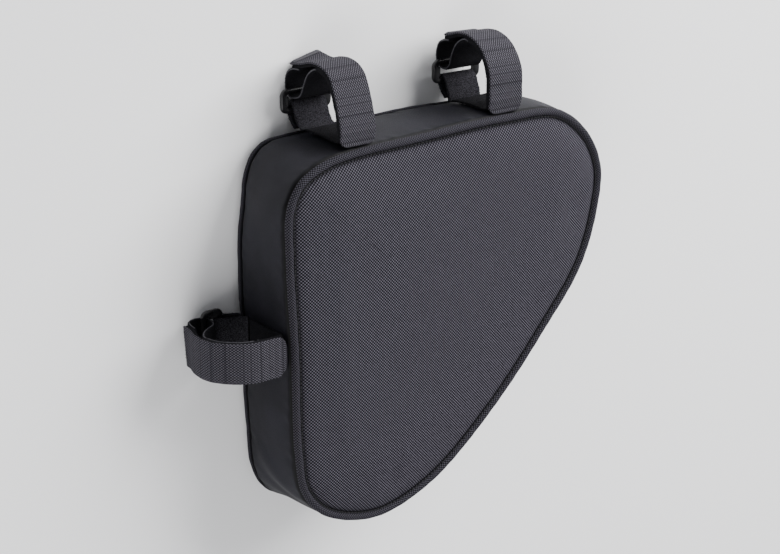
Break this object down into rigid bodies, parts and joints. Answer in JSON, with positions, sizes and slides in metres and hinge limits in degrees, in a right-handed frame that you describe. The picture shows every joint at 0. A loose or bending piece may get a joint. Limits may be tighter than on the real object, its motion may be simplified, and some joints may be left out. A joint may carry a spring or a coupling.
{
  "type": "bicycle frame bag",
  "caption": "Rounded-triangle padded bag that straps inside a bicycle frame, with woven panels, a smooth gusset, corded seams and hook-and-loop straps with plastic rings.",
  "frame": {"origin": "middle of the flat of the back panel, on which the bag lies", "axes": "+Z from the back panel to the front panel, +Y towards the bag's top edge, +X along the top edge towards the bag's nose"},
  "size_m": [0.2839, 0.2879, 0.0691],
  "materials": {
    "woven_cloth": "coarse diagonal weave, matt",
    "smooth_cloth": "fine coated cloth, soft sheen",
    "webbing": "ribbed webbing, matt",
    "pile": "looped pile, matt",
    "black_plastic": "satin",
    "zip_tape": "plain tape with coil teeth"
  },
  "bodies": {
    "root": {"gusset": "smooth_cloth", "front_panel": "woven_cloth", "back_panel": "woven_cloth", "front_piping": "woven_cloth", "back_piping": "woven_cloth", "zip_closure": "zip_tape", "upper_left_strap": "webbing", "upper_left_cinch": "pile", "upper_left_tab": "pile", "upper_left_ring": "black_plastic", "upper_right_strap": "webbing", "upper_right_cinch": "pile", "upper_right_tab": "pile", "upper_right_ring": "black_plastic", "side_strap": "webbing", "side_cinch": "pile", "side_tab": "pile", "side_ring": "black_plastic"}
  },
  "joints": []
}
